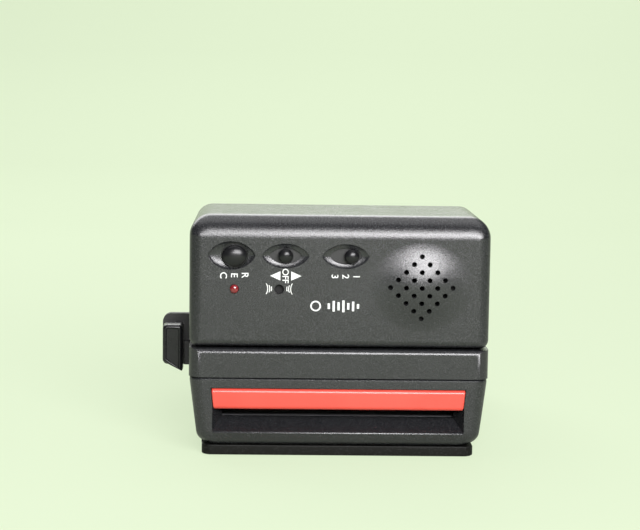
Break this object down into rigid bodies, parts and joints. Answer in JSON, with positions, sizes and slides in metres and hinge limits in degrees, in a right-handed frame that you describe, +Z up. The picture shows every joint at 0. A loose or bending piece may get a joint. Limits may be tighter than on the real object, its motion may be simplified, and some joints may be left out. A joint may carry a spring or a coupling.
{
  "type": "folding instant camera",
  "caption": "Box-type instant film camera with a folded flash lid that carries a voice recorder, a coral bar over the picture slot and a shutter button at its side.",
  "frame": {"origin": "centre of the black base's underside, midway between the body's sides", "axes": "+X to the right seen from the front, +Y from the front to the back, +Z up"},
  "size_m": [0.1374, 0.1494, 0.095],
  "materials": {
    "charcoal_shell": "satin",
    "black_plastic": "satin",
    "gloss_black": "gloss",
    "coral_plastic": "satin",
    "steel": "satin",
    "glass": "gloss",
    "mirror": "gloss",
    "smoked_window": "gloss",
    "rubber": "matte",
    "circuit_board": "satin",
    "ivory_nylon": "satin",
    "brass": "satin",
    "red_lens": "gloss",
    "foil": "gloss",
    "blue_sleeve": "satin"
  },
  "bodies": {
    "camera_body": {"bottom_cover": "black_plastic", "housing_screws": "steel", "front_shell": "charcoal_shell", "rear_shell": "charcoal_shell", "chassis": "black_plastic", "light_cone": "black_plastic", "main_mirror": "mirror", "lens_panel": "black_plastic", "lens_barrel": "black_plastic", "taking_lens": "glass", "shutter_housing": "black_plastic", "eye_window": "smoked_window", "viewfinder_tube": "black_plastic", "viewfinder_front_lens": "glass", "viewfinder_eyepiece": "glass", "eyecup": "rubber", "shutter_pod": "charcoal_shell", "button_spring": "steel", "main_board": "circuit_board", "drive_motor": "steel", "battery_contacts": "brass", "counter_window": "glass", "strap_lug": "black_plastic", "door_hinge_pin": "steel"},
    "lid": {"lid_cover": "charcoal_shell", "lid_inner_cover": "black_plastic", "lid_hinge_pins": "steel", "lid_screws": "steel", "flash_window": "glass", "flash_reflector": "foil", "flash_tube": "glass", "flash_capacitor": "blue_sleeve", "speaker": "black_plastic", "sound_board": "circuit_board", "status_led": "red_lens", "microphone": "black_plastic"},
    "record_key": {"record_button": "gloss_black"},
    "play_slide": {"play_switch": "gloss_black"},
    "message_slide": {"message_switch": "gloss_black"},
    "door": {"film_door": "charcoal_shell", "door_base": "black_plastic", "front_bar": "coral_plastic", "roller_brackets": "steel", "roller_springs": "steel", "light_flap": "black_plastic"},
    "upper_roll": {"upper_roller": "steel"},
    "lower_roll": {"lower_roller": "steel"},
    "transfer_gear": {"drive_gear": "ivory_nylon"},
    "pinion": {"motor_pinion": "ivory_nylon"},
    "dial": {"counter_dial": "ivory_nylon"},
    "blade_left": {"shutter_blade_left": "black_plastic"},
    "blade_right": {"shutter_blade_right": "black_plastic"},
    "pick": {"pick_arm": "steel"},
    "latch": {"door_latch": "black_plastic"},
    "closeup": {"closeup_slider": "black_plastic", "closeup_lens": "glass"},
    "exposure": {"exposure_slider": "ivory_nylon"},
    "release": {"shutter_button": "gloss_black"}
  },
  "joints": [
    {"name": "lid_hinge", "type": "hinge", "parent": "camera_body", "child": "lid", "pos_m": [0, -0.0175, 0.0855], "axis": [-1, 0, 0], "range_deg": [0, 72]},
    {"name": "door_hinge", "type": "hinge", "parent": "camera_body", "child": "door", "pos_m": [0, -0.0535, 0.0069], "axis": [1, 0, 0], "range_deg": [0, 75]},
    {"name": "shutter_press", "type": "slide", "parent": "camera_body", "child": "release", "axis": [0, 1, 0], "range_m": [0, 0.0024], "stiffness_N_per_m": 400, "springref_m": -0.0006, "deforming": ["button_spring"]},
    {"name": "record_press", "type": "slide", "parent": "lid", "child": "record_key", "axis": [0, 1, 0], "range_m": [0, 0.0015], "stiffness_N_per_m": 300, "springref_m": -0.0006},
    {"name": "play_slide_x", "type": "slide", "parent": "lid", "child": "play_slide", "axis": [1, 0, 0], "range_m": [-0.0023, 0.0023]},
    {"name": "message_slide_x", "type": "slide", "parent": "lid", "child": "message_slide", "axis": [1, 0, 0], "range_m": [-0.0046, 0]},
    {"name": "exposure_slide_x", "type": "slide", "parent": "camera_body", "child": "exposure", "axis": [1, 0, 0], "range_m": [-0.004, 0.004]},
    {"name": "closeup_slide_x", "type": "slide", "parent": "camera_body", "child": "closeup", "axis": [1, 0, 0], "range_m": [0, 0.022]},
    {"name": "latch_slide", "type": "slide", "parent": "camera_body", "child": "latch", "axis": [0, -1, 0], "range_m": [0, 0.004]},
    {"name": "upper_roller_spin", "type": "hinge", "parent": "door", "child": "upper_roll", "pos_m": [0, -0.0595, 0.0211], "axis": [1, 0, 0], "continuous": true},
    {"name": "lower_roller_spin", "type": "hinge", "parent": "door", "child": "lower_roll", "pos_m": [0, -0.0595, 0.0125], "axis": [1, 0, 0], "continuous": true},
    {"name": "drive_gear_spin", "type": "hinge", "parent": "camera_body", "child": "transfer_gear", "pos_m": [0, -0.04834, 0.02582], "axis": [1, 0, 0], "continuous": true},
    {"name": "motor_spin", "type": "hinge", "parent": "camera_body", "child": "pinion", "pos_m": [0, -0.04509, 0.03582], "axis": [1, 0, 0], "continuous": true},
    {"name": "counter_turn", "type": "hinge", "parent": "camera_body", "child": "dial", "pos_m": [-0.042, 0.04206, 0.06168], "axis": [0, 0.7967, 0.6044], "range_deg": [0, 324]},
    {"name": "left_blade_turn", "type": "hinge", "parent": "camera_body", "child": "blade_left", "pos_m": [-0.014, 0, 0.0498], "axis": [0, -1, 0], "range_deg": [0, 38]},
    {"name": "right_blade_turn", "type": "hinge", "parent": "camera_body", "child": "blade_right", "pos_m": [0.014, 0, 0.0498], "axis": [0, -1, 0], "range_deg": [-38, 0]},
    {"name": "pick_slide", "type": "slide", "parent": "camera_body", "child": "pick", "axis": [0, -1, 0], "range_m": [0, 0.012]}
  ],
  "couplings": [
    {"joint": "lower_roller_spin", "follows": "upper_roller_spin", "ratio": -1},
    {"joint": "drive_gear_spin", "follows": "upper_roller_spin", "ratio": -0.875},
    {"joint": "motor_spin", "follows": "upper_roller_spin", "ratio": 1.4},
    {"joint": "right_blade_turn", "follows": "left_blade_turn", "ratio": -1}
  ]
}
